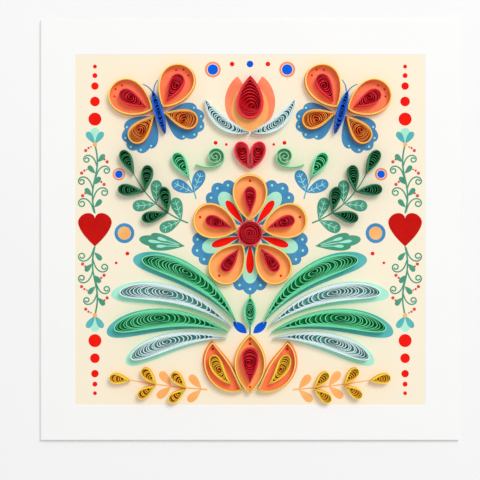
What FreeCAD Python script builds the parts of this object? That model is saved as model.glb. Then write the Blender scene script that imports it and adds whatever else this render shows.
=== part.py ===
"""A square greeting card with quilled paper art on its front.

The card is one folded sheet lying on its back, with the fold at -X and its picture
panel pressed into the front leaf. The art is strips of paper standing on edge, each
wound into a coil, pinched to a drop or a leaf and glued down on the panel. Lengths
are in millimetres. +X is to the right of the picture, +Y to its top, +Z out of it,
and the origin is below the picture's middle, where the card rests.
"""

import FreeCAD
import Part
import math
import os
from collections import namedtuple

# the folded sheet
card_side = 152.4
sheet = 0.4
leaf_gap = 0.6
panel_side = 127.0
panel_depth = 0.12
panel_edge_width = 0.25

# the strips
strip_height = 3.0
strip = 0.15
coil_rim_turns = 5
pinch_crowding = 0.5
frame_rim_turns = 3
glue_gap = 0.15
tiny_points = 8
small_points = 10
plume_points = 14
loose_points = 6
bent_loose_points = 8
plume_loose_points = 10
scroll_points = 10

# the flower in the middle of the picture
flower_gap = 5.8
flower_core_diameter = 9.0
petal_count = 5
petal_length = 16.5
petal_width = 12.3
petal_drop_setback = 2.2
petal_drop_headroom = 4.2
petal_drop_sideroom = 3.8

# the urn that the plumes rise from
urn_foot_margin = 4.5
urn_height = 21.0
urn_gore_width = 11.0
urn_side_length = 22.0
urn_side_width = 9.0
urn_side_tuck = 2.9
urn_side_rise = 1.0
urn_side_heading = 20.0
urn_side_bend = 76.0
urn_drop_setback = 3.4
urn_drop_headroom = 4.6
urn_drop_sideroom = 2.3
urn_side_drop_setback = 4.6
urn_side_drop_headroom = 4.4
urn_side_drop_sideroom = 2.2

# the fan of plumes on each side of the urn
fan_x = 1.5
fan_rise = 0.6
fan_radius = 7.0
fan_low_heading = 8.0
fan_step = 18.0
Plume = namedtuple("Plume", "name length width bend")
plumes = (
    Plume("bottom", 36.0, 6.0, -40.0),
    Plume("lower", 42.5, 6.8, -49.0),
    Plume("upper", 44.0, 6.2, -54.0),
    Plume("top", 43.0, 6.8, -56.0),
)

# the leaf on the stem between the urn and the flower
stem_leaf_length = 11.0
stem_leaf_width = 4.6
stem_leaf_rise = 4.9

# the heart and the scrolls above the flower
heart_gap = 2.3
heart_lobe_length = 10.4
heart_lobe_width = 5.4
heart_lobe_heading = 50.0
heart_lobe_bend = 46.0
scroll_x = 12.5
scroll_y = 26.5
scroll_radius = 3.4
scroll_turns = 2.5
scroll_tail_length = 8.5
scroll_tail_bend = 46.0
scroll_start = 250.0

# the tulip at the top
tulip_gap = 2.6
tulip_petal_length = 15.5
tulip_petal_width = 9.8
tulip_petal_seat = 5.0
sepal_length = 21.0
sepal_width = 4.6
sepal_heading = 4.0
sepal_bend = 66.0

# the butterflies
butterfly_x = 33.0
butterfly_y = 42.5
butterfly_turn = -16.0
body_length = 16.0
body_width = 3.2
forewing_length = 17.0
forewing_width = 12.5
forewing_spread = 50.0
forewing_bend = 12.0
forewing_root_y = 1.5
forewing_drop_setback = 2.6
forewing_drop_headroom = 3.6
forewing_drop_sideroom = 3.6
hindwing_length = 12.5
hindwing_width = 7.0
hindwing_spread = 122.0
hindwing_root_y = -0.8

# the sprays: a leafy one beside the flower, a lone leaf inside it, a small one at the foot
Spray = namedtuple("Spray", "x y heading length bend leaf_length leaf_width leaf_spread leaf_points stations")
fern = Spray(22.5, 2.5, 20.0, 27.0, 44.0, 9.5, 4.2, 46.0, small_points, (8.0, 19.5))
sprig = Spray(15.5, -58.0, 4.0, 28.0, 6.0, 7.6, 3.6, 42.0, tiny_points, (7.5, 18.5))
lone_leaf_x = 22.0
lone_leaf_y = 18.6
lone_leaf_heading = 60.0
lone_leaf_length = 10.5
lone_leaf_width = 4.8

fold_radius = sheet + leaf_gap / 2
front_top = 2 * fold_radius
panel_face = front_top - panel_depth
coil_rim = coil_rim_turns * strip
frame_rim = frame_rim_turns * strip

# How full a coil is towards its pinched tail, and how blunt its head is
DROP = (1.1, 0.5)
PETAL = (0.8, 0.5)
BLUNT = (0.9, 0.5)
LEAF = (0.9, 0.9)
BODY = (0.7, 0.7)
ROUND = (0.5, 0.5)

Outline = namedtuple("Outline", "x y heading length width bend form side")


def outline(x, y, heading, length, width, bend=0.0, form=DROP, side=1):
    """A coil's outline: its tail at x, y, its spine an arc that turns by bend."""
    return Outline(x, y, heading, length, width, bend, form, side)


def along(shape, distance):
    """The point of the spine at a distance from the tail, and its heading there."""
    start = math.radians(shape.heading)
    turn = math.radians(shape.bend) * distance / shape.length
    if abs(shape.bend) < 1e-9:
        x = shape.x + distance * math.cos(start)
        y = shape.y + distance * math.sin(start)
    else:
        radius = shape.length / math.radians(shape.bend)
        x = shape.x + radius * (math.sin(start + turn) - math.sin(start))
        y = shape.y - radius * (math.cos(start + turn) - math.cos(start))
    return x, y, start + turn


def urn_side_gore(side):
    foot = urn_gore_width / 2 - urn_side_tuck
    return outline(
        foot, urn_foot_y + urn_side_rise, urn_side_heading,
        urn_side_length, urn_side_width, urn_side_bend, LEAF, side,
    )


# The heights of the picture's middle column, each taken from what is under it
urn_foot_y = urn_foot_margin - panel_side / 2
fan_y = along(urn_side_gore(1), urn_side_length)[1] + fan_rise
stem_leaf_y = fan_y + stem_leaf_rise
petal_headings = [90 + 360 * k / petal_count for k in range(petal_count)]
petal_root = flower_core_diameter / 2 + glue_gap
petal_fall = max(-math.sin(math.radians(heading)) for heading in petal_headings)
flower_y = stem_leaf_y + stem_leaf_length + flower_gap + (petal_root + petal_length) * petal_fall
heart_y = flower_y + petal_root + petal_length + heart_gap
tulip_y = heart_y + heart_lobe_length + tulip_gap


def fullness(form, u):
    """The half width at share u of the length, as a share of the greatest half width."""
    tail, head = form
    widest = tail / (tail + head)
    return (u / widest) ** tail * ((1 - u) / (1 - widest)) ** head


def station(form, phi):
    """The share of the length reached at angle phi of one turn, closest where it is round."""
    tail, head = form
    if tail < 0.6:
        return (1 - math.cos(phi)) / 2
    if head < 0.6:
        return math.sin(phi / 2)
    return 1 - abs(phi / math.pi - 1)


def turn_of(shape, count, tail=0.0, head=None, share=1.0):
    """One turn of a coil, from its tail round its head: a list of count points."""
    head = shape.length if head is None else head
    points = []
    for k in range(count):
        phi = 2 * math.pi * k / count
        u = station(shape.form, phi)
        half = share * fullness(shape.form, u) * shape.width / 2
        half = half if 2 * k < count else -half
        x, y, heading = along(shape, tail + (head - tail) * u)
        points.append(((x - half * math.sin(heading)) * shape.side, y + half * math.cos(heading)))
    return points


def inset(points, distance):
    """The closed outline moved inwards by a distance, its corners kept sharp."""
    count = len(points)
    area = sum(points[k - 1][0] * points[k][1] - points[k][0] * points[k - 1][1] for k in range(count))
    inward = math.copysign(distance, area)
    normals = []
    for k in range(count):
        (x0, y0), (x1, y1) = points[k], points[(k + 1) % count]
        run = math.hypot(x1 - x0, y1 - y0)
        normals.append(((y0 - y1) / run, (x1 - x0) / run))
    moved = []
    for k in range(count):
        (ax, ay), (bx, by) = normals[k - 1], normals[k]
        scale = inward / (1 + ax * bx + ay * by)
        moved.append((points[k][0] + scale * (ax + bx), points[k][1] + scale * (ay + by)))
    return moved


def beside_pinch(points, side):
    """The point on one side of a turn where its tail has opened to a strip's width."""
    (x0, y0), (x1, y1), (x2, y2) = points[0], points[side], points[-side]
    opening = math.atan2(y1 - y0, x1 - x0) - math.atan2(y2 - y0, x2 - x0)
    reach = strip / 2 / abs(math.sin(opening / 2))
    share = min(0.5, reach / math.hypot(x1 - x0, y1 - y0))
    return x0 + share * (x1 - x0), y0 + share * (y1 - y0)


def space_between(outer, inner):
    """The open space between two turns, whose tails are glued together by the pinch."""
    return (
        [beside_pinch(outer, 1)] + outer[1:] + [beside_pinch(outer, -1), beside_pinch(inner, -1)]
        + inner[:0:-1] + [beside_pinch(inner, 1)]
    )


def wire(points):
    corners = [FreeCAD.Vector(x, y, panel_face) for x, y in points]
    return Part.makePolygon(corners + corners[:1])


def stand(outer, spaces):
    """Paper standing on edge on the panel: an outline less the open spaces in it."""
    face = Part.makeFace([wire(outer)] + [wire(space) for space in spaces], "Part::FaceMakerBullseye")
    return face.extrude(FreeCAD.Vector(0, 0, strip_height)).Solids[0]


def frame(shape):
    """A few tight turns that stand as an open outline."""
    outer = turn_of(shape, plume_points)
    return stand(outer, [inset(outer, frame_rim)])


def coil(shape, turns, eye=0.68, points=small_points, loose=loose_points, crowding=pinch_crowding):
    """A pinched coil: a rim of tight turns, and loose turns round its eye inside.

    The loose turns are evenly spaced at the head, and crowd at the sides and the pinch.
    """
    outer = turn_of(shape, points)
    hollow = inset(outer, coil_rim)
    tail = math.hypot(hollow[0][0] - shape.x * shape.side, hollow[0][1] - shape.y)
    head = shape.length - coil_rim
    middle = eye * shape.length
    room = 1 - 2 * coil_rim / shape.width
    spaces = []
    around = hollow
    for k in range(turns, 0, -1):
        share = k / (turns + 1)
        crowded = share ** crowding
        start = middle + (tail - middle) * crowded
        end = middle + (head - middle) * share
        turn = turn_of(shape, loose, start, end, crowded * room)
        spaces.append(space_between(around, turn))
        around = inset(turn, strip)
    return stand(outer, spaces + [around])


def inside(shape, setback, headroom, sideroom):
    """A drop that stands inside a frame, with its own room at the tail, head and sides."""
    x, y, heading = along(shape, setback)
    length = shape.length - setback - headroom
    width = shape.width - 2 * sideroom
    bend = shape.bend * length / shape.length
    return outline(x, y, math.degrees(heading), length, width, bend, DROP, shape.side)


def band(path):
    """A single strip standing along a path, square at both ends."""
    left, right = [], []
    for k, (x, y) in enumerate(path):
        before, after = path[max(k - 1, 0)], path[min(k + 1, len(path) - 1)]
        run = math.hypot(after[0] - before[0], after[1] - before[1])
        nx, ny = (before[1] - after[1]) / run * strip, (after[0] - before[0]) / run * strip
        left.append((x + nx, y + ny))
        right.append((x - nx, y - ny))
    return stand(left + right[::-1], [])


def rise(x, y, heading, distance):
    angle = math.radians(heading)
    return x + distance * math.cos(angle), y + distance * math.sin(angle)


def folded_card():
    """The sheet's section along X, drawn round the fold, with the panel pressed into it."""
    right = card_side / 2
    left = fold_radius - card_side / 2
    inner = leaf_gap / 2

    def at(x, z):
        return FreeCAD.Vector(x, -card_side / 2, z)

    def fold(radius, low, high):
        return Part.Arc(at(left, low), at(left - radius, fold_radius), at(left, high)).toShape()

    edges = [
        Part.makeLine(at(right, 0), at(left, 0)),
        fold(fold_radius, 0, front_top),
        Part.makeLine(at(left, front_top), at(right, front_top)),
        Part.makeLine(at(right, front_top), at(right, front_top - sheet)),
        Part.makeLine(at(right, front_top - sheet), at(left, front_top - sheet)),
        fold(inner, sheet, front_top - sheet),
        Part.makeLine(at(left, sheet), at(right, sheet)),
        Part.makeLine(at(right, sheet), at(right, 0)),
    ]
    section = Part.Face(Part.Wire(edges))
    card = section.extrude(FreeCAD.Vector(0, card_side, 0))
    return card.fuse(pressed(front_top - sheet, 0)).cut(pressed(front_top, panel_edge_width)).removeSplitter()


def pressed(top, flare):
    """The shallow block that the press moves: its sides slope out towards its top."""
    rims = []
    for z, half in ((top - panel_depth, panel_side / 2), (top, panel_side / 2 + flare)):
        corners = [(-half, -half), (half, -half), (half, half), (-half, half), (-half, -half)]
        rims.append(Part.makePolygon([FreeCAD.Vector(x, y, z) for x, y in corners]))
    return Part.makeLoft(rims, True, True)


def flower():
    made = {}
    core_radius = flower_core_diameter / 2
    core = outline(0, flower_y - core_radius, 90, flower_core_diameter, flower_core_diameter, form=ROUND)
    made["flower_core"] = coil(core, 2, 0.5, plume_points, plume_loose_points, 1)
    for k, heading in enumerate(petal_headings):
        x, y = rise(0, flower_y, heading, petal_root)
        petal = outline(x, y, heading, petal_length, petal_width, form=PETAL)
        drop = inside(petal, petal_drop_setback, petal_drop_headroom, petal_drop_sideroom)
        made[f"flower_petal_{k + 1}"] = frame(petal)
        made[f"flower_drop_{k + 1}"] = coil(drop, 1)
    return made


def urn():
    gore = outline(0, urn_foot_y, 90, urn_height, urn_gore_width, form=LEAF)
    drop = inside(gore, urn_drop_setback, urn_drop_headroom, urn_drop_sideroom)
    made = {"urn_gore_centre": frame(gore), "urn_drop_centre": coil(drop, 1)}
    for name, side in sides:
        gore = urn_side_gore(side)
        drop = inside(gore, urn_side_drop_setback, urn_side_drop_headroom, urn_side_drop_sideroom)
        made[f"urn_gore_{name}"] = frame(gore)
        made[f"urn_drop_{name}"] = coil(drop, 1, loose=bent_loose_points)
    return made


def plume_fan():
    made = {}
    for name, side in sides:
        for k, plume in enumerate(plumes):
            heading = fan_low_heading + k * fan_step
            x, y = rise(fan_x, fan_y, heading, fan_radius)
            shape = outline(x, y, heading, plume.length, plume.width, plume.bend, DROP, side)
            made[f"plume_{plume.name}_{name}"] = coil(shape, 2, 0.7, plume_points, plume_loose_points)
    return made


def stem_leaf():
    shape = outline(0, stem_leaf_y, 90, stem_leaf_length, stem_leaf_width, form=LEAF)
    return {"stem_leaf": coil(shape, 1, 0.5)}


def heart():
    """Two bent drops side by side, tails down, above the flower's top petal."""
    lobe = outline(glue_gap, heart_y, heart_lobe_heading, heart_lobe_length, heart_lobe_width, heart_lobe_bend)
    return {"heart": Part.makeCompound([coil(lobe._replace(side=side), 1) for _, side in sides])}


def scrolls():
    """A strip rolled round at one end, with the rest of it as a tail."""
    made = {}
    steps = round(scroll_points * scroll_turns)
    for name, side in sides:
        path = []
        for k in range(steps + 1):
            radius = scroll_radius * (1 - k / (steps + 2))
            angle = math.radians(scroll_start - 360 * scroll_turns * k / steps)
            path.append((scroll_x + radius * math.cos(angle), scroll_y + radius * math.sin(angle)))
        tail = outline(*path[0], scroll_start - 270, scroll_tail_length, 0, scroll_tail_bend)
        ends = [along(tail, scroll_tail_length * share)[:2] for share in (1, 0.66, 0.33)]
        made[f"scroll_{name}"] = band([(x * side, y) for x, y in ends + path])
    return made


def tulip():
    tip = tulip_y + tulip_petal_seat + tulip_petal_length
    petal = outline(0, tip, 270, tulip_petal_length, tulip_petal_width, form=BLUNT)
    made = {"tulip_petal": coil(petal, 3, 0.74, plume_points, bent_loose_points)}
    for name, side in sides:
        sepal = outline(
            2 * glue_gap, tulip_y, sepal_heading, sepal_length, sepal_width, sepal_bend, LEAF, side,
        )
        made[f"tulip_sepal_{name}"] = coil(sepal, 1, 0.5, loose=bent_loose_points)
    return made


def butterflies():
    made = {}
    turn = math.radians(butterfly_turn)

    def at(x, y):
        return (
            butterfly_x + x * math.cos(turn) - y * math.sin(turn),
            butterfly_y + x * math.sin(turn) + y * math.cos(turn),
        )

    for name, side in sides:
        up = 90 + butterfly_turn
        body = outline(*at(0, -body_length / 2), up, body_length, body_width, form=BODY, side=side)
        made[f"butterfly_{name}_body"] = coil(body, 0, 0.5)
        root = body_width / 2 + 2 * glue_gap
        for where, hand in (("inner", -1), ("outer", 1)):
            forewing = outline(
                *at(hand * root, forewing_root_y), up - hand * forewing_spread,
                forewing_length, forewing_width, hand * forewing_bend, PETAL, side,
            )
            drop = inside(forewing, forewing_drop_setback, forewing_drop_headroom, forewing_drop_sideroom)
            hindwing = outline(
                *at(hand * root, hindwing_root_y), up - hand * hindwing_spread,
                hindwing_length, hindwing_width, side=side,
            )
            made[f"butterfly_{name}_forewing_{where}"] = frame(forewing)
            made[f"butterfly_{name}_drop_{where}"] = coil(drop, 1)
            made[f"butterfly_{name}_hindwing_{where}"] = coil(hindwing, 2)
    return made


def leaf_pair(spray, stem, distance):
    """Two leaves set on the stem like a V, each rolled by itself."""
    x, y, heading = along(stem, distance)
    leaves = []
    for hand in (-1, 1):
        out = math.degrees(heading) + hand * spray.leaf_spread
        root = rise(x, y, out, glue_gap)
        leaves.append(outline(*root, out, spray.leaf_length, spray.leaf_width, side=stem.side))
    return [coil(leaf, 1, points=spray.leaf_points) for leaf in leaves]


def sprays():
    made = {}
    for name, side in sides:
        for plant, spray in (("fern", fern), ("sprig", sprig)):
            stem = outline(spray.x, spray.y, spray.heading, spray.length, 0, spray.bend, side=side)
            pairs = [leaf_pair(spray, stem, distance) for distance in spray.stations]
            x, y, heading = along(stem, spray.length)
            end = outline(x, y, math.degrees(heading), spray.leaf_length, spray.leaf_width, side=side)
            end_leaf = coil(end, 1, points=spray.leaf_points)
            made[f"{plant}_{name}_low_pair"] = Part.makeCompound(pairs[0])
            if plant == "fern":
                made[f"fern_{name}_high_pair"] = Part.makeCompound(pairs[1])
                made[f"fern_{name}_end_leaf"] = end_leaf
            else:
                made[f"sprig_{name}_high_leaves"] = Part.makeCompound(pairs[1] + [end_leaf])
        lone = outline(lone_leaf_x, lone_leaf_y, lone_leaf_heading, lone_leaf_length, lone_leaf_width, side=side)
        made[f"lone_leaf_{name}"] = coil(lone, 1)
    return made


sides = (("left", -1), ("right", 1))


def main():
    os.makedirs("parts", exist_ok=True)
    made = {"card": folded_card()}
    for motif in (flower, urn, plume_fan, stem_leaf, heart, scrolls, tulip, butterflies, sprays):
        made.update(motif())
    for name, solid in made.items():
        solid.exportStep(f"parts/{name}.step")


main()
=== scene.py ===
"""A square greeting card with quilled paper art, dressed for its studio picture.

The card lies on its back on a pale table. Shapes are worked out in millimetres and made
metres when they become a mesh. The camera, the lamp, the table and what a material reads
are in metres.
"""

import math
from collections import namedtuple

import bpy
import numpy as np
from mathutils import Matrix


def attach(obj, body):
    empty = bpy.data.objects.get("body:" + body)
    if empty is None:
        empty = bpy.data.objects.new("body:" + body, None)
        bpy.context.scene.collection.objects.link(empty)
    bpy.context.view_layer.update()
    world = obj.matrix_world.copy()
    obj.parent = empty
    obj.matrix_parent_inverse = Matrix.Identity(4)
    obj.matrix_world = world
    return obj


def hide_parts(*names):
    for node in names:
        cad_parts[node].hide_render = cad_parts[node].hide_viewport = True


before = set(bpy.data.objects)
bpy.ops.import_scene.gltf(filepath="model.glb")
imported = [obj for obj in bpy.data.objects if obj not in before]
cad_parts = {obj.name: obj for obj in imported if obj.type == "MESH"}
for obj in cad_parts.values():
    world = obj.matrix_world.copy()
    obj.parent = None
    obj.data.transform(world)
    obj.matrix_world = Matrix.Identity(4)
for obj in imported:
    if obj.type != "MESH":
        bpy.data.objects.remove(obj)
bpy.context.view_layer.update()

# The camera and the soft light
# The camera looks straight down, a little to the left of the card's middle and below it.
# One broad lamp from the upper right throws the soft shadows, and the room fills them.
scene = bpy.context.scene
scene.view_settings.view_transform = "Standard"

camera = bpy.data.objects.new("camera", bpy.data.cameras.new("camera"))
camera.data.lens = 85
camera.data.sensor_width = 36
camera.data.clip_start = 0.01
camera.location = (-0.00363, -0.00368, 0.4127)
scene.collection.objects.link(camera)
scene.camera = camera

world = bpy.data.worlds.new("studio")
world.use_nodes = True
room = world.node_tree.nodes["Background"]
room.inputs["Color"].default_value = (1, 1, 1, 1)
room.inputs["Strength"].default_value = 0.62
scene.world = world

lamp = bpy.data.objects.new("lamp", bpy.data.lights.new("lamp", "AREA"))
lamp.data.energy = 11.8
lamp.data.size = 0.62
lamp.location = (0.5, 0.75, 1.3)
lamp.rotation_euler = (-lamp.location).to_track_quat("-Z", "Y").to_euler()
scene.collection.objects.link(lamp)

# The table
# A plain table top, painted white and faintly mottled, fills the picture behind the card.
# It lies a fifth of a millimetre under the card, and is the stage and no part of it.
table_half = 2.0
table_top = -2e-4


def ink(red, green, blue):
    """A colour given as sRGB from 0 to 255, as linear RGBA: ((c + 0.055) / 1.055) to the power 2.4."""
    share = np.array([red, green, blue]) / 255
    linear = np.where(share > 0.04045, ((share + 0.055) / 1.055) ** 2.4, share / 12.92)
    return (*linear.tolist(), 1.0)


class Shade:
    """A value or a colour in a material: arithmetic on it adds Math nodes, and node() any other."""

    def __init__(self, tree, socket=None):
        self.tree = tree
        self.socket = socket

    def node(self, kind, settings, inputs, out=0):
        """A node with its settings, and each input set to a value or linked to a Shade."""
        made = self.tree.nodes.new(kind)
        for name, value in settings.items():
            setattr(made, name, value)
        for name, value in inputs.items():
            if isinstance(value, Shade):
                self.tree.links.new(value.socket, made.inputs[name])
            else:
                made.inputs[name].default_value = value
        return Shade(self.tree, made.outputs[out])

    def maths(self, operation, first, second=0.0):
        """A Math node on one value or two."""
        return self.node("ShaderNodeMath", {"operation": operation}, {0: first, 1: second})

    def __add__(self, other):
        return self.maths("ADD", self, other)

    def __radd__(self, other):
        return self.maths("ADD", other, self)

    def __mul__(self, other):
        return self.maths("MULTIPLY", self, other)

    def __rmul__(self, other):
        return self.maths("MULTIPLY", other, self)

    def __lt__(self, other):
        return self.maths("LESS_THAN", self, other)

    def __gt__(self, other):
        return self.maths("GREATER_THAN", self, other)

    def __abs__(self):
        return self.maths("ABSOLUTE", self)

    def between(self, low, high):
        """0 below low, 1 above high and an even slope from one to the other."""
        inputs = {"Value": self, "From Min": low, "From Max": high}
        return self.node("ShaderNodeMapRange", {}, inputs)

    def choose(self, first, second):
        """The first colour where this value is 0 and the second where it is 1."""
        settings = {"data_type": "RGBA", "blend_type": "MIX"}
        return self.node("ShaderNodeMix", settings, {0: self, 6: first, 7: second}, 2)

    def tint(self, grey):
        """This colour multiplied by a grey value."""
        settings = {"data_type": "RGBA", "blend_type": "MULTIPLY"}
        return self.node("ShaderNodeMix", settings, {0: 1.0, 6: self, 7: grey}, 2)


def start_material(name, roughness, specular):
    """A new material: its shader, and a Shade to begin its nodes from."""
    material = bpy.data.materials.new(name)
    material.use_nodes = True
    shader = material.node_tree.nodes["Principled BSDF"]
    shader.inputs["Roughness"].default_value = roughness
    shader.inputs["Specular IOR Level"].default_value = specular
    return material, shader, Shade(material.node_tree)


def finish_material(shader, colour, height, depth):
    """Colour to the shader, and a height that stands up to depth metres through Bump."""
    colour.tree.links.new(colour.socket, shader.inputs["Base Color"])
    inputs = {"Height": height, "Distance": depth, "Strength": 0.6}
    normal = colour.node("ShaderNodeBump", {}, inputs, "Normal")
    colour.tree.links.new(normal.socket, shader.inputs["Normal"])


table_mesh = bpy.data.meshes.new("table")
corners = [(x * table_half, y * table_half, table_top) for x, y in ((-1, -1), (1, -1), (1, 1), (-1, 1))]
table_mesh.from_pydata(corners, [], [(0, 1, 2, 3)])
table = bpy.data.objects.new("table", table_mesh)
scene.collection.objects.link(table)
table_paint, shader, begin = start_material("table_paint", roughness=0.8, specular=0.1)
place = begin.node("ShaderNodeTexCoord", {}, {}, "Object")
mottle = begin.node("ShaderNodeTexNoise", {}, {"Vector": place, "Scale": 9.0, "Detail": 2.0})
white = mottle.choose(ink(246, 246, 246), ink(250, 250, 250))
finish_material(shader, white, mottle, depth=1e-5)
table.data.materials.append(table_paint)

# The card
# One sheet of white card stock, folded once, its front leaf pressed to a shallow square
# panel and printed cream there, where it is higher than print_above. It keeps its solid
# and gets the stock's tooth.
panel_half = 63.5
panel_face = 1.28
print_above = 1.1
tooth_scale = 1700.0

card_stock, shader, begin = start_material("card_stock", roughness=0.78, specular=0.25)
place = begin.node("ShaderNodeTexCoord", {}, {}, "Object")
across = begin.node("ShaderNodeSeparateXYZ", {}, {"Vector": place}, "X")
up = begin.node("ShaderNodeSeparateXYZ", {}, {"Vector": place}, "Y")
out = begin.node("ShaderNodeSeparateXYZ", {}, {"Vector": place}, "Z")
tooth = begin.node("ShaderNodeTexNoise", {}, {"Vector": place, "Scale": tooth_scale, "Detail": 4.0})
cloud = begin.node("ShaderNodeTexNoise", {}, {"Vector": place, "Scale": 45.0, "Detail": 3.0})
on_panel = (abs(across) < panel_half / 1000) * (abs(up) < panel_half / 1000) * (out > print_above / 1000)
stock = on_panel.choose(ink(250, 250, 249), ink(252, 241, 216))
stock = stock.tint(0.97 + 0.035 * tooth + 0.02 * cloud)
finish_material(shader, stock, tooth, depth=3e-5)
card = bpy.data.objects["card"]
card.data.materials.clear()
card.data.materials.append(card_stock)

# The printed side bands
# Each margin of the picture carries a vine printed in flat inks: a heart at half height,
# scrolls with small berries and leaves, a bud above and below, and a row of dots that
# shrinks outwards. A print is a thin plate let into the panel, so that it has an edge.
Shape = namedtuple("Shape", "x y heading length width bend form side")
DROP = (1.1, 0.5)
sides = (("left", -1), ("right", 1))
ink_depth = 0.02
ink_step = 0.008
tip_half = 0.01


def shape(x, y, heading, length, width, bend=0.0, form=DROP, side=1):
    """A drop, leaf or round: its tail at x, y, its spine an arc that turns by bend degrees.

    form holds the powers of its tail and head, 0.5 for a round end and near 1 for a pinched
    one. A shape of side -1 is mirrored to the left.
    """
    return Shape(x, y, heading, length, width, bend, form, side)


def on_spine(what, distance, offset):
    """Points at distances along a shape's spine and offsets to its left, side -1 mirrored in X.

    The spine is an arc of radius r = length / bend: x + r (sin(a) - sin(a0)),
    y - r (cos(a) - cos(a0)), where a turns evenly from the heading a0.
    """
    start = math.radians(what.heading)
    bend = math.radians(what.bend) or 1e-9
    radius = what.length / bend
    angle = start + distance / radius
    x = what.x + radius * (np.sin(angle) - math.sin(start)) - offset * np.sin(angle)
    y = what.y - radius * (np.cos(angle) - math.cos(start)) + offset * np.cos(angle)
    return np.stack([x * what.side, y], axis=-1)


def fullness(tail, head, u):
    """Half width at share u of the length: (u/m)^tail ((1-u)/(1-m))^head, 1 at its widest, u = m."""
    widest = tail / (tail + head)
    return (u / widest) ** tail * ((1 - u) / (1 - widest)) ** head


def plate(right, left, low, high, closed=False):
    """A flat bar between two edges, right and left, from low to high, as points and faces.

    Row i is its four corners: right at low and high, then left at high and low. The two
    ends are shut, or joined if it is closed.
    """
    count = len(right)
    low = np.full((count, 1), low)
    high = np.reshape(high * np.ones(count), (-1, 1))
    edges = ((right, low), (right, high), (left, high), (left, low))
    rows = np.stack([np.hstack(edge) for edge in edges], axis=1)
    i = np.arange(count if closed else count - 1)[:, None]
    j = np.arange(4)[None, :]
    after, beside = (i + 1) % count, (j + 1) % 4
    faces = np.stack([4 * i + j, 4 * after + j, 4 * after + beside, 4 * i + beside], axis=-1)
    faces = faces.reshape(-1, 4)
    if not closed:
        last = 4 * (count - 1)
        faces = np.vstack([faces, [[0, 1, 2, 3], [last + 3, last + 2, last + 1, last]]])
    return rows.reshape(-1, 3), faces


def ribbon(path, half, low, high, closed=False):
    """A bar along a path: its edges are path - half n and path + half n, n its left normal."""
    if closed:
        tangent = np.roll(path, -1, axis=0) - np.roll(path, 1, axis=0)
    else:
        tangent = np.gradient(path, axis=0)
    tangent = tangent / np.maximum(np.linalg.norm(tangent, axis=1, keepdims=True), 1e-9)
    normal = np.stack([-tangent[:, 1], tangent[:, 0]], axis=1)
    reach = normal * np.reshape(half * np.ones(len(path)), (-1, 1))
    return plate(path - reach, path + reach, low, high, closed)


def piece(name, parts, material, node=None):
    """One object from parts of points and faces; where it stands for a CAD node, that is given."""
    starts = np.cumsum([0] + [len(points) for points, faces in parts])
    points = np.concatenate([points for points, faces in parts]) / 1000
    faces = np.concatenate([faces + start for (_, faces), start in zip(parts, starts)])
    mesh = bpy.data.meshes.new(name)
    mesh.from_pydata(points.tolist(), [], faces.tolist())
    mesh.shade_smooth()
    mesh.set_sharp_from_angle(angle=0.7)
    made = bpy.data.objects.new(name, mesh)
    made.data.materials.append(material)
    scene.collection.objects.link(made)
    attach(made, "root")
    if node:
        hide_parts(node)


def print_piece(name, parts, colour):
    """The prints in one ink as one object."""
    piece(name, parts, colour)


def printed_ink(name, colour, deep):
    """Ink printed on the stock: it pools a little, so its tone drifts between two colours."""
    material, shader, begin = start_material(name, roughness=0.75, specular=0.12)
    place = begin.node("ShaderNodeTexCoord", {}, {}, "Object")
    pool = begin.node("ShaderNodeTexNoise", {}, {"Vector": place, "Scale": 260.0, "Detail": 3.0})
    tooth = begin.node("ShaderNodeTexNoise", {}, {"Vector": place, "Scale": tooth_scale, "Detail": 4.0})
    tone = pool.between(0.35, 0.7).choose(colour, deep).tint(0.97 + 0.06 * tooth)
    finish_material(shader, tone, tooth, depth=2e-5)
    return material


def level(layer):
    """The low and high side of a printed layer, each layer one ink_step over the last."""
    return panel_face - ink_depth, panel_face + ink_step * (layer + 1)


def rounded(count):
    """Shares from 0 to 1, close together near both ends: (1 - cos a) / 2 for even angles a."""
    return (1 - np.cos(np.linspace(0, math.pi, count))) / 2


def leaf_print(what, layer):
    """A printed drop or leaf. Its half width follows fullness, plus tip_half so that tips show."""
    u = rounded(33)
    half = what.width / 2 * fullness(*what.form, u)
    return ribbon(on_spine(what, what.length * u, 0 * u), half + tip_half, *level(layer))


def line_print(path, half, layer):
    """A printed line of an even half width along a path."""
    return ribbon(path, half, *level(layer))


def dot_print(x, y, radius, layer=1):
    """A printed dot. At share u of its breadth its half width is 2 r sqrt(u (1 - u)), or a hair more."""
    u = rounded(17)
    path = np.stack([x - radius + 2 * radius * u, y + 0 * u], axis=1)
    return ribbon(path, 2 * radius * np.sqrt(u * (1 - u)) + tip_half / 2, *level(layer))


def heart_print(x, y, half, layer):
    """A printed heart. With a the distance from the middle, 0 to 1, its upper edge is
    0.45 sqrt(1 - (2a - 1)^2) + 0.19 (1 - a) and its lower edge -1.42 (1 - a)^0.62."""
    v = rounded(25)
    across = np.concatenate([-v[:0:-1], v])
    a = np.abs(across)
    upper = 0.45 * np.sqrt(1 - (2 * a - 1) ** 2) + 0.19 * (1 - a)
    lower = -1.42 * (1 - a) ** 0.62
    right = np.stack([x + half * across, y + half * lower - tip_half], axis=1)
    left = np.stack([x + half * across, y + half * upper + tip_half], axis=1)
    return plate(right, left, *level(layer))


def curl(x, y, heading, length, turn):
    """A scroll that turns faster as it goes: it heads heading + turn s^2.4 at share s of its length."""
    s = np.linspace(0, 1, 56)
    angle = np.radians(heading + turn * s ** 2.4)
    step = length / (len(s) - 1)
    return np.stack([x + step * np.cumsum(np.cos(angle)), y + step * np.cumsum(np.sin(angle))], axis=1)


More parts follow.
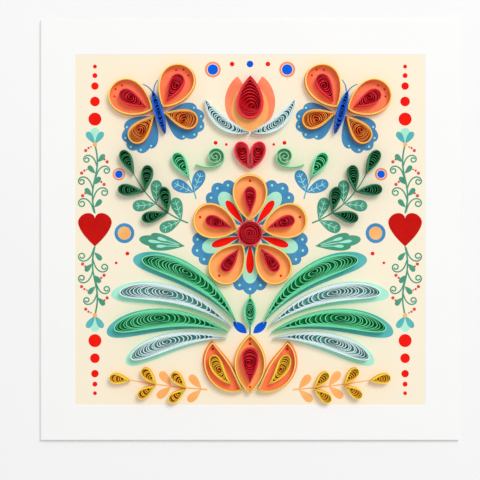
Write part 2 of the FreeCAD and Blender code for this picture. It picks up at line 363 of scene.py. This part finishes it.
red_ink = printed_ink("red_ink", ink(252, 22, 4), ink(240, 14, 2))
heart_ink = printed_ink("heart_ink", ink(204, 12, 4), ink(192, 6, 2))
berry_ink = printed_ink("berry_ink", ink(222, 88, 84), ink(208, 70, 70))
teal_ink = printed_ink("teal_ink", ink(98, 190, 190), ink(80, 174, 180))
mint_ink = printed_ink("mint_ink", ink(182, 242, 220), ink(164, 234, 208))
green_ink = printed_ink("green_ink", ink(84, 164, 134), ink(68, 148, 122))
peach_ink = printed_ink("peach_ink", ink(255, 192, 118), ink(252, 176, 98))

band_x = 56.3
vine_foot, vine_run, vine_sway = 6, 25, 0.9
scroll_foot, scroll_step = 7.2, 4.1
bud_y = 31.2
row_of_dots = ((40.2, 2.36), (46.6, 1.75), (52.2, 1.35), (56.0, 0.9), (59.3, 0.7))
berry_places = ((4.2, 5.2, 0.6), (3.2, 6.1, 0.42), (2.3, 6.5, 0.3))
vines, berries, dots, hearts, buds, bud_hearts, bud_feet = [], [], [], [], [], [], []
for _, side in sides:
    hearts.append(heart_print(side * band_x, 2.7, half=6.1, layer=8))
    for end in (-1, 1):
        for y, radius in row_of_dots:
            dots.append(dot_print(side * band_x, end * y, radius))
        bud = shape(side * band_x, end * bud_y, end * 90, length=5.8, width=3.4)
        for lean, layer in ((-34, 3), (34, 5)):
            petal = bud._replace(heading=end * (90 + lean), length=5.2, width=2.2)
            buds.append(leaf_print(petal, layer))
        bud_hearts.append(leaf_print(bud, 1))
        bud_feet.append(dot_print(side * band_x, end * 31.0, radius=0.8, layer=7))
        wave = np.linspace(0, 1, 60)
        vine_x = band_x + vine_sway * np.sin(2 * math.pi * wave)
        vine = np.stack([side * vine_x, end * (vine_foot + vine_run * wave)], axis=1)
        vines.append(line_print(vine, half=0.3, layer=1))
        for k, hand in enumerate((1, -1, 1, -1, 1)):
            y = scroll_foot + scroll_step * k
            x = band_x + vine_sway * math.sin(2 * math.pi * (y - vine_foot) / vine_run)
            scroll = curl(x, y - 1, heading=90 - 16 * hand, length=15.0 - 0.5 * k, turn=-hand * 500)
            vines.append(line_print(scroll * (side, end), half=0.25, layer=3))
            heading, bend = end * (90 + side * hand * 52), -20 * side * end * hand
            leaf = shape(side * x, end * (y + 1), heading, length=3.8, width=1.8, bend=bend)
            vines.append(leaf_print(leaf, 5))
            for aside, above, radius in berry_places:
                berries.append(dot_print(side * (x + hand * aside), end * (y + above), radius))
print_piece("band_vine_print", vines, green_ink)
print_piece("band_dot_print", dots, red_ink)
print_piece("band_heart_print", hearts, heart_ink)
print_piece("band_berry_print", berries, berry_ink)
print_piece("band_bud_print", buds, teal_ink)
print_piece("band_bud_heart_print", bud_hearts, mint_ink)
print_piece("band_bud_foot_print", bud_feet, peach_ink)

# The urn
# Three tall gores, each four turns of amber paper bent to an eye shape, stand over printed
# fields with a coil glued inside each. A coil is one long strip of thin paper, wound on
# itself, pinched and glued down on its edge over a printed field of its own colour. That
# field is painted shade: its colour stands in for the tinted shade in the gaps between turns.
LEAF = (0.9, 0.9)
round_end = 0.6
pitch = 0.1
strip_half = 0.047
arc_half = 0.11
strip_foot = panel_face - 0.01
strip_top = 4.28
# A hand leaves the turns uneven, by a share of their gap and a little in their height.
waver, waver_pace = 0.22, 2.7
top_waver, top_pace = 0.02, 1.9
# Loose turns sink a little below the rim and keep clear of the eye, and each rounds its
# ends over a share of its half width there and a little more.
loose_sink = 0.07
eye_room = 1.4
least_half = 0.07
cap_share, cap_more = 1.1, 0.2
# The strip's top is painted paler from the lower of two heights up: a painted highlight where
# light falls on its top edge. The printed field under a coil is a little narrower than the
# coil, and lies over the other prints; its colour is painted shade for the gaps between turns.
painted_light_low, painted_light_high = 4.18, 4.26
gap_shade_inset = 0.25
gap_shade_layer = 14


def station(form, phi):
    """The share of the length reached at angle phi of a turn, closest where an end is round.

    It is (1 - cos(phi)) / 2 with a round tail, sin(phi / 2) with only a round head, and
    1 - |phi / pi - 1| with both ends pinched.
    """
    tail, head = form
    if tail < round_end:
        return (1 - np.cos(phi)) / 2
    if head < round_end:
        return np.sin(phi / 2)
    return 1 - np.abs(phi / math.pi - 1)


def wound(what, tight, loose, eye=0.5, eye_radius=0.4, stations=48, lean=0.35, hand=0.0):
    """A strip wound round and round inside an outline, from its pinched tail to its eye.

    After t turns it is at angle 2 pi t. Its tight turns are the outline, each one pitch
    inside the last. The ends of its loose turns draw in evenly to the eye as rounded arcs,
    cap(x) = sqrt(1 - (1 - x)^2). Their half width is the outline's less one pitch for each
    turn, and no more than one that closes to the eye. lean moves the eye to one side, and
    hand is the phase of the unevenness that a hand leaves. A loose turn's half thickness
    is strip_half + arc_half g cos(phi)^4, thickest at both ends, where the paper leans and
    shows, with g the gap between the turns there and at most 1. It grows to that over the
    first third of the loose turns, and is even all round a round coil.
    """
    tail, head = what.form
    length, half = what.length, what.width / 2
    turns = tight + loose
    t = np.linspace(0, turns, turns * stations + 1)
    packed = np.minimum(t, tight)
    opened = np.clip((t - tight) / max(loose, 1), 0, 1)
    phi = 2 * math.pi * t
    turned = phi % (2 * math.pi)
    tail_step = pitch * tail / (tail + head) * length / half
    tail_run = eye * length - eye_room * eye_radius - tail_step * tight
    head_run = (1 - eye) * length - eye_radius - pitch * tight
    tail_gap, gap = tail_run / max(loose, 1), head_run / max(loose, 1)
    uneven = np.sin(math.pi * opened) * gap * waver * np.sin(waver_pace * t + hand)
    start = tail_step * packed + tail_run * opened
    end = length - pitch * packed - head_run * opened
    start, end = start + uneven, end + uneven
    blend = np.clip(t - tight, 0, 1) * (loose > 0)
    u = np.clip((1 - blend) * station(what.form, turned) + blend * (1 - np.cos(phi)) / 2, 0, 1)
    place = start + (end - start) * u
    slack = max(half - pitch * turns - eye_radius, 0)
    spread = opened if tail < round_end else opened ** 4
    wide = half - pitch * t - slack * spread
    inside_turn = wide * fullness(tail, head, u)

    def packed_side(distance):
        """The outline's half width at a distance from its tail, less one pitch for each turn."""
        outline = half * fullness(tail, head, np.clip(distance / length, 0, 1))
        return np.maximum(outline - pitch * t, least_half)

    if tail > round_end:
        near_tail = np.clip((place - start) / (cap_share * packed_side(start) + cap_more), 0, 1)
        near_head = np.clip((end - place) / (cap_share * packed_side(end) + cap_more), 0, 1)
        tail_cap, head_cap = np.sqrt(1 - (1 - near_tail) ** 2), np.sqrt(1 - (1 - near_head) ** 2)
        side = np.minimum(packed_side(place), wide) * tail_cap
        if head > round_end:
            inside_turn = side * head_cap
        else:
            inside_turn = np.where(u < tail / (tail + head), side, inside_turn * tail_cap)
    width = (1 - blend) * (half - pitch * t) * fullness(tail, head, u) + blend * inside_turn
    offset = np.where(turned < math.pi, 1, -1) * width + lean * slack * opened ** 3
    path = on_spine(what, place, offset)
    across = 1 if tail < round_end else np.cos(phi) ** 4
    room = np.where(np.cos(phi) > 0, min(tail_gap, 1), min(gap, 1))
    thick = strip_half + arc_half * room * np.minimum(3 * opened, 1) * across
    sunk = loose_sink * np.clip(2 * (t - tight), 0, 1)
    top = strip_top + top_waver * np.sin(top_pace * t + hand) - sunk
    return ribbon(path, thick, strip_foot, top)


def spine_point(what, distance):
    """One point on a shape's spine, at a distance from its tail."""
    return on_spine(what, np.array([distance]), np.array([0.0]))[0]


def tail_at(what, distance):
    """The point at a distance along a shape's spine, as the tail of another on its side."""
    return spine_point(what, distance) * (what.side, 1)


def inner(what, setback, headroom, sideroom):
    """A drop inside an outline, along its spine, with room at the tail, the head and each side."""
    length = what.length - setback - headroom
    heading = what.heading + what.bend * setback / what.length
    bend = what.bend * length / what.length
    return shape(*tail_at(what, setback), heading, length, what.width - 2 * sideroom, bend, side=what.side)


def strip_paper(name, body, edge):
    """Paper dyed through: fine fibres, and a painted highlight, a paler band along the top of the strip.
    """
    material, shader, begin = start_material(f"{name}_strip", roughness=0.75, specular=0.15)
    place = begin.node("ShaderNodeTexCoord", {}, {}, "Object")
    height = begin.node("ShaderNodeSeparateXYZ", {}, {"Vector": place}, "Z")
    fibre = begin.node("ShaderNodeTexNoise", {}, {"Vector": place, "Scale": 2600.0, "Detail": 4.0})
    drift = begin.node("ShaderNodeTexNoise", {}, {"Vector": place, "Scale": 210.0, "Detail": 2.0})
    # The pale band at the top is a painted highlight over the paper's own colour on the walls.
    painted_top_light = height.between(painted_light_low / 1000, painted_light_high / 1000)
    tone = painted_top_light.choose(body, edge).tint(0.92 + 0.08 * fibre + 0.08 * drift)
    finish_material(shader, tone, fibre, depth=3e-5)
    return material


def paper(name, body, edge, field):
    """One colour of the set: its strip, the ink of the field under it, which is painted shade for the gaps
    between its turns, and a slot name that nothing uses.
    """
    return strip_paper(name, body, edge), printed_ink(f"{name}_field", field, field), f"{name}_paper"


def outline_quill(node, what):
    """Four tight turns of amber paper that stand as an open outline."""
    piece(f"{node}_strip", [wound(what, tight=4, loose=0, stations=96)], amber_strip, node)


def quill(node, coils, colour):
    """One glued piece: coils, each a shape and how it is wound, and their printed field, which is painted
    shade for the gaps between the turns.
    """
    strip, field, slot = colour
    piece(f"{node}_strip", [wound(what, **winding) for what, winding in coils], strip, node)
    # The field under the coils is painted shade, which tints the gaps between their turns.
    gap_shade_fields = []
    for k, (what, winding) in enumerate(coils):
        gap_shade_fields.append(leaf_print(what._replace(width=what.width - gap_shade_inset), gap_shade_layer + k))
    print_piece(f"{node}_gap_shade_print", gap_shade_fields, field)


coral_ink = printed_ink("coral_ink", ink(255, 150, 108), ink(250, 134, 92))
# In each strip paper the paler second colour is the painted highlight along the strip's top.
amber_strip = strip_paper("amber", ink(255, 186, 78), ink(255, 232, 118))
# Each paper's last colour is the ink of its field, painted shade for the gaps between its turns.
red = paper("red", ink(232, 24, 42), ink(242, 60, 74), ink(236, 24, 34))
yellow = paper("yellow", ink(255, 178, 36), ink(255, 232, 76), ink(244, 128, 36))

urn_foot_y = -59.0
gore = shape(0, urn_foot_y, 90, length=21, width=11, form=LEAF)
outline_quill("urn_gore_centre", gore)
drop = inner(gore, setback=3.4, headroom=4.6, sideroom=2.3)
quill("urn_drop_centre", [(drop, dict(tight=4, loose=7, eye=0.6, hand=0.4))], red)
centre_field = leaf_print(gore._replace(length=21.4, width=11.6), 1)
marks = [dot_print(0, urn_foot_y + y, r, 3) for y, r in ((2.0, 0.45), (17.6, 0.55), (19.3, 0.35))]
side_fields = []
side_gore = shape(2.6, urn_foot_y + 1, 20, length=22, width=9, bend=76, form=LEAF)
for name, side in sides:
    gore = side_gore._replace(side=side)
    outline_quill(f"urn_gore_{name}", gore)
    drop = inner(gore, setback=4.6, headroom=4.4, sideroom=2.2)
    quill(f"urn_drop_{name}", [(drop, dict(tight=3, loose=7, eye=0.55, hand=side))], yellow)
    side_fields.append(leaf_print(gore._replace(length=22.6, width=10.2), 0))
    marks += [dot_print(*spine_point(gore, y), r, 3) for y, r in ((19.4, 0.5), (20.6, 0.3))]
print_piece("urn_side_print", side_fields, coral_ink)
print_piece("urn_centre_print", [centre_field], peach_ink)
print_piece("urn_dot_print", marks, red_ink)

# The plumes
# Four long coils on each side fan out from the urn's mouth. They are rolled loose, pinched
# hard at the tail and bent by hand, and glued on printed plumes that show past them.
mint = paper("mint", ink(84, 208, 142), ink(132, 238, 186), ink(48, 178, 116))
sky = paper("sky", ink(206, 240, 238), ink(240, 251, 253), ink(150, 208, 202))
blue_ink = printed_ink("blue_ink", ink(2, 98, 232), ink(0, 84, 218))

fan_x = 1.5
fan_y = spine_point(side_gore, side_gore.length)[1] + 0.6
fan_radius = 7
plumes = (
    ("bottom", 8, 36.0, 6.0, -40, sky),
    ("lower", 26, 42.5, 6.8, -49, mint),
    ("upper", 44, 44.0, 6.2, -54, sky),
    ("top", 62, 43.0, 6.8, -56, mint),
)
teal_plumes, mint_plumes, mouth_leaves = [], [], []
for name, side in sides:
    for k, (which, heading, length, width, bend, colour) in enumerate(plumes):
        turn = math.radians(heading)
        x, y = fan_x + fan_radius * math.cos(turn), fan_y + fan_radius * math.sin(turn)
        coil = shape(x, y, heading, length, width, bend, side=side)
        under = coil._replace(heading=heading - 2.5, length=length * 1.07, width=width * 1.3)
        prints = teal_plumes if colour is mint else mint_plumes
        prints.append(leaf_print(under, k % 2))
        hand = 1.3 * k + side
        winding = dict(tight=4, loose=12, eye=0.62, eye_radius=0.45, stations=72, hand=hand)
        quill(f"plume_{which}_{name}", [(coil, winding)], colour)
    leaf = shape(1.2, fan_y + 2.6, 40, length=6.4, width=3.0, form=LEAF, side=side)
    mouth_leaves.append(leaf_print(leaf, 2))
print_piece("plume_teal_print", teal_plumes, teal_ink)
print_piece("plume_mint_print", mint_plumes, mint_ink)
print_piece("urn_mouth_leaf_print", mouth_leaves, blue_ink)

# The stem and its leaf
# A printed stem joins the urn to the flower, with one eye-shaped coil of mint paper glued
# over it. The flower's height follows from that leaf and its two lowest petals, which
# point a tenth of a turn to each side of straight down.
petal_root, petal_length = 4.65, 16.5
stem_leaf_length = 11
petal_gap = 5.8
stem_leaf_y = fan_y + 4.9
lowest = (petal_root + petal_length) * math.cos(math.pi / 5)
flower_y = stem_leaf_y + stem_leaf_length + petal_gap + lowest
stem_run = np.linspace(fan_y + 2, flower_y - 22, 12)
stem = line_print(np.stack([0 * stem_run, stem_run], axis=1), half=0.3, layer=6)
print_piece("stem_print", [stem], green_ink)
stem_leaf = shape(0, stem_leaf_y, 90, stem_leaf_length, width=4.6, form=LEAF)
quill("stem_leaf", [(stem_leaf, dict(tight=4, loose=6, hand=2.0))], mint)

# The flower
# Five open petals of amber paper stand round a tight red core, each with a red drop glued
# inside it, over printed petals and a ring of printed leaves between them.
PETAL = (0.8, 0.5)
ROUND = (0.5, 0.5)
leaf_root = 3.6
petal_dot = 14.4
mid_ink = printed_ink("mid_blue_ink", ink(78, 150, 198), ink(62, 134, 188))


def lobes_of(what, count, fan):
    """Drops from one tail, fanned over an angle: at turn t, -0.5 to 0.5, 1 - 0.9 t^2 as large."""
    lobes = []
    for turn in np.linspace(-0.5, 0.5, count):
        share = 1 - 0.9 * turn * turn
        heading = what.heading + fan * turn
        lobes.append(what._replace(heading=heading, length=what.length * share, width=what.width * share))
    return lobes


def lobed_print(what, count, fan, layer=0):
    """A printed leaf with lobes, each a layer over the last."""
    return [leaf_print(lobe, layer + k) for k, lobe in enumerate(lobes_of(what, count, fan))]


petal_fields, blue_leaves, mint_leaves, red_leaves, petal_dots = [], [], [], [], []
for k in range(5):
    heading = 90 + 72 * k
    turn = math.radians(heading)
    x, y = petal_root * math.cos(turn), flower_y + petal_root * math.sin(turn)
    petal = shape(x, y, heading, petal_length, width=12.3, form=PETAL)
    outline_quill(f"flower_petal_{k + 1}", petal)
    drop = inner(petal, setback=2.2, headroom=4.2, sideroom=3.8)
    quill(f"flower_drop_{k + 1}", [(drop, dict(tight=4, loose=5, eye=0.62, hand=float(k)))], red)
    petal_fields.append(leaf_print(petal._replace(length=16.9, width=12.7), 10))
    x, y = x + petal_dot * math.cos(turn), y + petal_dot * math.sin(turn)
    petal_dots.append(dot_print(x, y, radius=0.5, layer=12))
    turn = math.radians(heading + 36)
    x, y = leaf_root * math.cos(turn), flower_y + leaf_root * math.sin(turn)
    between = shape(x, y, heading + 36, length=18.6, width=6.6)
    blue_leaves += lobed_print(between, count=5, fan=56)
    mint_leaves.append(leaf_print(between._replace(length=14.6, width=5.6), 6))
    for lobe in lobes_of(between._replace(length=16.6), count=5, fan=56):
        mint_leaves.append(dot_print(*spine_point(lobe, lobe.length), 0.45, 6))
    red_leaves.append(leaf_print(between._replace(length=11.0, width=2.8), 8))
core = shape(0, flower_y - 4.5, 90, length=9, width=9, form=ROUND)
quill("flower_core", [(core, dict(tight=4, loose=5, stations=64, lean=0.1))], red)
print_piece("flower_blue_print", blue_leaves, mid_ink)
print_piece("flower_mint_print", mint_leaves, mint_ink)
print_piece("flower_red_print", red_leaves, red_ink)
print_piece("flower_petal_print", petal_fields, peach_ink)
print_piece("flower_dot_print", petal_dots, red_ink)

# The heart and the scrolls
# Two bent red drops are glued side by side to make the heart. Each scroll is a strip of
# mint paper in two layers, rolled two and a half turns at one end, its long tail left
# nearly straight. Its radius falls evenly with its turn.
heart_y = flower_y + petal_root + petal_length + 2.3
heart_length = 10.4
lobes = []
for _, side in sides:
    lobe = shape(0.15, heart_y, 50, heart_length, width=5.4, bend=46, side=side)
    lobes.append((lobe, dict(tight=5, loose=6, eye=0.74, hand=side)))
quill("heart", lobes, red)

scroll_x, scroll_y, scroll_radius = 12.5, 26.5, 3.4
scroll_half = 0.13
scroll_tail = 8.5
mint_strip = mint[0]
scroll_dots = []
for name, side in sides:
    tenths = np.linspace(0, 25, 201)
    angle = np.radians(250 - 36 * tenths)
    radius = scroll_radius * (1 - tenths / 27)
    rolled = np.stack([scroll_x + radius * np.cos(angle), scroll_y + radius * np.sin(angle)], axis=1)
    tail = shape(*rolled[0], -20, scroll_tail, width=0, bend=46)
    run = on_spine(tail, np.linspace(scroll_tail, 0, 30)[:-1], np.zeros(29))
    strip = ribbon(np.concatenate([run, rolled]) * (side, 1), scroll_half, strip_foot, strip_top)
    piece(f"scroll_{name}_strip", [strip], mint_strip, f"scroll_{name}")
    scroll_dots += [dot_print(side * scroll_x, 31.6, 0.7), dot_print(side * 8.6, 31.0, 0.5)]
print_piece("scroll_dot_print", scroll_dots, red_ink)

# The tulip
# One large red coil, its round end down and its pinched tip up, with two long sepals of
# sky paper bent out under it, on printed petals that show between them.
BLUNT = (0.9, 0.5)
tulip_y = heart_y + heart_length + 2.6
tulip = shape(0, tulip_y + 20.5, 270, length=15.5, width=9.8, form=BLUNT)
winding = dict(tight=7, loose=8, eye=0.74, eye_radius=0.5, stations=72, hand=0.8)
quill("tulip_petal", [(tulip, winding)], red)
outer_petals = []
middle_petal = leaf_print(shape(0, tulip_y + 0.5, 90, length=18, width=13.5, form=(0.6, 0.7)), 2)
for layer, (name, side) in enumerate(sides):
    outer = shape(0.2, tulip_y + 0.5, 56, length=21, width=9.6, bend=44, form=(0.8, 0.9), side=side)
    outer_petals.append(leaf_print(outer, layer))
    sepal = shape(0.3, tulip_y, 4, length=21, width=4.6, bend=66, form=LEAF, side=side)
    quill(f"tulip_sepal_{name}", [(sepal, dict(tight=3, loose=10, stations=64, hand=side))], sky)
print_piece("tulip_outer_print", outer_petals, coral_ink)
print_piece("tulip_middle_print", [middle_petal], peach_ink)

# The butterflies
# Each has a slim blue body, two open forewings of amber paper with a red drop inside, and
# two orange hindwings, all glued on edge. The wings' fields and the feelers are printed.
BODY = (0.7, 0.7)
butterfly_x, butterfly_y, butterfly_turn = 33, 42.5, -16
body_heading = 90 + butterfly_turn
blue = paper("blue", ink(14, 78, 200), ink(50, 118, 226), ink(12, 66, 176))
orange = paper("orange", ink(250, 108, 28), ink(255, 192, 92), ink(226, 62, 10))


def on_butterfly(x, y):
    """A place on the butterfly, x across and y along its body, turned to a place on the panel."""
    turn = math.radians(butterfly_turn)
    across = butterfly_x + x * math.cos(turn) - y * math.sin(turn)
    return across, butterfly_y + x * math.sin(turn) + y * math.cos(turn)


def stem_print(what, half, layer=0):
    """A printed line along a shape's spine that thins: half (1 - 0.35 u) at share u of its length."""
    u = np.linspace(0, 1, 25)
    return ribbon(on_spine(what, what.length * u, 0 * u), half * (1 - 0.35 * u), *level(layer))


wing_fields, hind_fields, hind_dots, feelers, wing_dots = [], [], [], [], []
for name, side in sides:
    node = f"butterfly_{name}"
    body = shape(*on_butterfly(0, -8), body_heading, length=16, width=3.2, form=BODY, side=side)
    quill(f"{node}_body", [(body, dict(tight=3, loose=7, eye_radius=0.15, hand=side))], blue)
    for where, hand in (("inner", -1), ("outer", 1)):
        root, heading = on_butterfly(hand * 1.9, 1.5), body_heading - hand * 50
        wing = shape(*root, heading, length=17, width=12.5, bend=hand * 12, form=PETAL, side=side)
        outline_quill(f"{node}_forewing_{where}", wing)
        drop = inner(wing, setback=2.6, headroom=3.6, sideroom=3.6)
        winding = dict(tight=3, loose=6, eye=0.6, hand=hand + side)
        quill(f"{node}_drop_{where}", [(drop, winding)], red)
        root = on_butterfly(hand * 1.9, -0.8)
        hind = shape(*root, body_heading - hand * 122, length=12.5, width=7, side=side)
        winding = dict(tight=5, loose=8, eye=0.6, hand=hand - side)
        quill(f"{node}_hindwing_{where}", [(hind, winding)], orange)
        wing_fields.append(leaf_print(wing._replace(length=17.3, width=12.9), 6))
        field = hind._replace(heading=body_heading - hand * 126, length=15.2, width=6.0)
        hind_fields += lobed_print(field, count=5, fan=62)
        for lobe in lobes_of(field, count=5, fan=62):
            hind_dots.append(dot_print(*spine_point(lobe, lobe.length * 0.92), 0.38, 6))
        spots = on_spine(wing, np.array([15.6, 14.4, 14.4]), np.array([0.0, 2.4, -2.4]))
        wing_dots += [dot_print(*spot, 0.42, 8) for spot in spots]
        root, heading = on_butterfly(0.3 * hand, 8), body_heading - 14 * hand
        feeler = shape(*root, heading, length=4.6, width=0, bend=-44 * hand, side=side)
        feelers.append(stem_print(feeler, half=0.24, layer=1))
print_piece("forewing_print", wing_fields, coral_ink)
print_piece("hindwing_print", hind_fields, mid_ink)
print_piece("hindwing_dot_print", hind_dots, mint_ink)
print_piece("wing_dot_print", wing_dots, red_ink)
print_piece("feeler_print", feelers, mid_ink)

# The ferns
# Dark green leaves are rolled one by one and glued in pairs like a V along a printed stem,
# with one at its end and printed leaves between the pairs.
dark_green = paper("dark_green", ink(34, 112, 70), ink(66, 142, 100), ink(14, 78, 46))
leaf_gap = 0.15
vein_half = 0.1
vein_reach = 0.62


def leaf_shapes(stem, distance, spread, length, width):
    """Two leaves that start leaf_gap from one point of the stem, turned out by spread."""
    foot = tail_at(stem, distance)
    heading = stem.heading + stem.bend * distance / stem.length
    made = []
    for hand in (-1, 1):
        out = math.radians(heading + hand * spread)
        x, y = foot[0] + leaf_gap * math.cos(out), foot[1] + leaf_gap * math.sin(out)
        made.append(shape(x, y, heading + hand * spread, length, width, side=stem.side))
    return made


def vein_print(what, layer):
    """The printed veins of a leaf: its spine, and three pairs that lean towards its head.

    A pair leaves the spine at share s of the length and ends at s + 0.11, vein_reach of
    the leaf's half width at s + 0.09 away from it.
    """
    u = np.linspace(0.08, 0.86, 13)
    veins = [line_print(on_spine(what, what.length * u, 0 * u), vein_half, layer)]
    for share in np.linspace(0.2, 0.7, 3):
        out = what.width / 2 * fullness(*what.form, share + 0.09) * vein_reach
        for k, hand in enumerate((-1, 1)):
            q = np.linspace(0, 1, 5)
            path = on_spine(what, what.length * (share + 0.11 * q), hand * out * q)
            veins.append(line_print(path, vein_half, layer + 1 + k))
    return veins


stems, fern_leaves, fern_veins = [], [], []
for name, side in sides:
    stem = shape(22.5, 2.5, 20, length=27, width=0, bend=44, side=side)
    stems.append(stem_print(stem, half=0.3))
    winding = dict(tight=3, loose=6, eye=0.38, eye_radius=0.3, hand=side)
    for part, distance in (("low_pair", 8.0), ("high_pair", 19.5)):
        pair = leaf_shapes(stem, distance, spread=46, length=9.5, width=4.2)
        quill(f"fern_{name}_{part}", [(leaf, winding) for leaf in pair], dark_green)
    end_leaf = shape(*tail_at(stem, stem.length), 64, length=9.5, width=4.2, side=side)
    quill(f"fern_{name}_end_leaf", [(end_leaf, winding)], dark_green)
    for distance in (2.5, 13.5):
        for k, leaf in enumerate(leaf_shapes(stem, distance, spread=48, length=8.5, width=4.2)):
            fern_leaves.append(leaf_print(leaf, 2 + k))
            fern_veins += vein_print(leaf, 5)
print_piece("fern_stem_print", stems, green_ink)
print_piece("fern_leaf_print", fern_leaves, green_ink)
print_piece("fern_vein_print", fern_veins, mint_ink)

# The sprigs
# A small spray of yellow leaves lies on each side of the urn's foot, rolled and glued like
# the fern's. The upper pair and the end leaf make one glued piece.
stems, sprig_leaves = [], []
for name, side in sides:
    stem = shape(15.5, -58, 4, length=28, width=0, bend=6, side=side)
    stems.append(stem_print(stem, half=0.3))
    winding = dict(tight=3, loose=5, eye=0.38, eye_radius=0.3, hand=side)
    low, high = (leaf_shapes(stem, distance, spread=42, length=7.6, width=3.6) for distance in (7.5, 18.5))
    high.append(shape(*tail_at(stem, stem.length), 10, length=7.6, width=3.6, side=side))
    quill(f"sprig_{name}_low_pair", [(leaf, winding) for leaf in low], yellow)
    quill(f"sprig_{name}_high_leaves", [(leaf, winding) for leaf in high], yellow)
    for distance in (2.0, 13.0):
        for k, leaf in enumerate(leaf_shapes(stem, distance, spread=45, length=6.5, width=3.0)):
            sprig_leaves.append(leaf_print(leaf, 2 + k))
print_piece("sprig_stem_print", stems, peach_ink)
print_piece("sprig_leaf_print", sprig_leaves, peach_ink)

# The lone leaves
# One coil of mint paper stands on each side of the heart, at the end of a short printed
# stem and between two printed leaves with veins.
stems, lone_leaves, lone_veins = [], [], []
for name, side in sides:
    lone = shape(22, 18.6, 60, length=10.5, width=4.8, side=side)
    winding = dict(tight=4, loose=5, eye=0.4, eye_radius=0.3, hand=3 * side)
    quill(f"lone_leaf_{name}", [(lone, winding)], mint)
    stem = shape(19.6, 11.2, 78, length=8.0, width=0, bend=-16, side=side)
    stems.append(stem_print(stem, half=0.26))
    for k, heading in enumerate((112, 26)):
        leaf = shape(20.6, 13.6, heading, length=8.6, width=4.4, form=BLUNT, side=side)
        lone_leaves.append(leaf_print(leaf, 1 + k))
        lone_veins += vein_print(leaf, 4)
print_piece("lone_stem_print", stems, teal_ink)
print_piece("lone_leaf_print", lone_leaves, mid_ink)
print_piece("lone_vein_print", lone_veins, mint_ink)

# The printed rounds and side leaves
# Dots, ringed dots and one lobed leaf on each side are printed on the panel, and fill the
# gaps of the picture. The leaf's veins end in small drops.
drop_reach = 0.8


def ring_print(x, y, radius, half):
    """A printed ring: one closed turn of radius about x, y."""
    angle = np.linspace(0, 2 * math.pi, 49)[:-1]
    path = np.stack([x + radius * np.cos(angle), y + radius * np.sin(angle)], axis=1)
    return ribbon(path, half, *level(1), closed=True)


def drop_veins(what, count, fan, layer):
    """Printed veins along the lobes of a leaf, each with a drop at its end."""
    veins = []
    for k, lobe in enumerate(lobes_of(what, count, fan)):
        run = lobe.length * drop_reach
        u = np.linspace(0.2, 0.62, 9)
        veins.append(line_print(on_spine(lobe, run * u, 0 * u), half=0.13, layer=layer + k))
        drop = shape(*tail_at(lobe, run * 0.6), lobe.heading, run * 0.4, width=1.1, side=what.side)
        veins.append(leaf_print(drop, layer + k + count))
    return veins


blues, reds, rings, peaches, halos = [dot_print(0, 60.2, 1.2)], [], [], [], []
side_leaves, side_veins = [], []
for _, side in sides:
    for x, y, radius, halo, half in ((13.5, 58.2, 1.9, 2.5, 0.38), (47.6, 20.2, 1.4, 1.95, 0.32)):
        blues.append(dot_print(side * x, y, radius))
        halos.append(ring_print(side * x, y, halo, half))
    for x, y, radius in ((6.5, 60.2, 0.85), (44.5, -8.6, 0.7), (48.6, -12, 0.5)):
        reds.append(dot_print(side * x, y, radius))
    rings.append(ring_print(side * 45.6, -1.2, 3.0, half=0.62))
    peaches.append(dot_print(side * 45.6, -1.2, 2.3))
    leaf = shape(23.6, -5.9, 8, length=16.8, width=4.0, bend=2, side=side)
    side_leaves += lobed_print(leaf, count=3, fan=19, layer=1)
    side_veins += drop_veins(leaf, count=3, fan=17, layer=5)
print_piece("blue_dot_print", blues, blue_ink)
print_piece("halo_print", halos, coral_ink)
print_piece("red_dot_print", reds, red_ink)
print_piece("ring_print", rings, mid_ink)
print_piece("peach_dot_print", peaches, peach_ink)
print_piece("side_leaf_print", side_leaves, green_ink)
print_piece("side_vein_print", side_veins, mint_ink)
